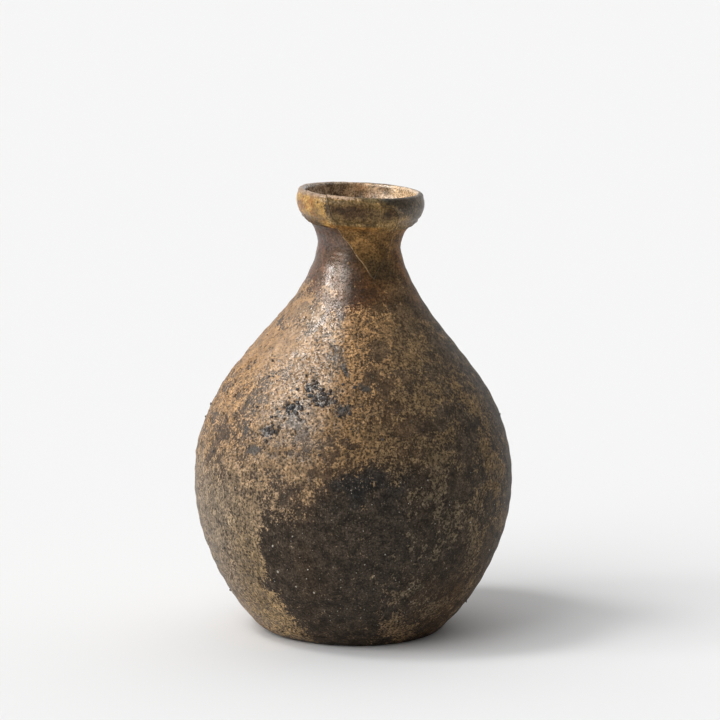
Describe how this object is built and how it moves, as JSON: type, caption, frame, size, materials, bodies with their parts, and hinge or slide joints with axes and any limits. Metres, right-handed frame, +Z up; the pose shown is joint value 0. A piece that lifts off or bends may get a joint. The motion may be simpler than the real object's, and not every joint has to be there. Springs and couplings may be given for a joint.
{
  "type": "sake bottle",
  "caption": "Wood-fired stoneware sake bottle: round belly, pinched neck, turned-over collar mouth with a lacquer-mended fragment, flat foot, and a slight lean.",
  "frame": {"origin": "under the middle of the bottle's bounding box, on the plane that the foot rests on", "axes": "+Z up out of the mouth, +X the side that the bottle leans towards, -Y the front, which carries the mended fragment"},
  "size_m": [0.0976, 0.097, 0.1355],
  "materials": {
    "clay": "unglazed wood-fired stoneware, dark brown with ochre ash crust and charcoal scorch, satin to matte",
    "fragment_clay": "smooth olive-brown stoneware, satin",
    "lacquer": "thin proud line of pale tan mending lacquer, matte",
    "ash_glaze": "natural ash glass, orange-tan, glossy and pitted",
    "kiln_grit": "blue-black melted clots, glossy",
    "feldspar": "off-white stones, satin"
  },
  "bodies": {
    "root": {"base_slab": "clay", "body_wall": "clay", "rim_collar": "clay", "mended_fragment": "fragment_clay", "lacquer_seam": "lacquer", "ash_glaze": "ash_glaze", "kiln_grit": "kiln_grit", "feldspar_stones": "feldspar"}
  },
  "joints": []
}
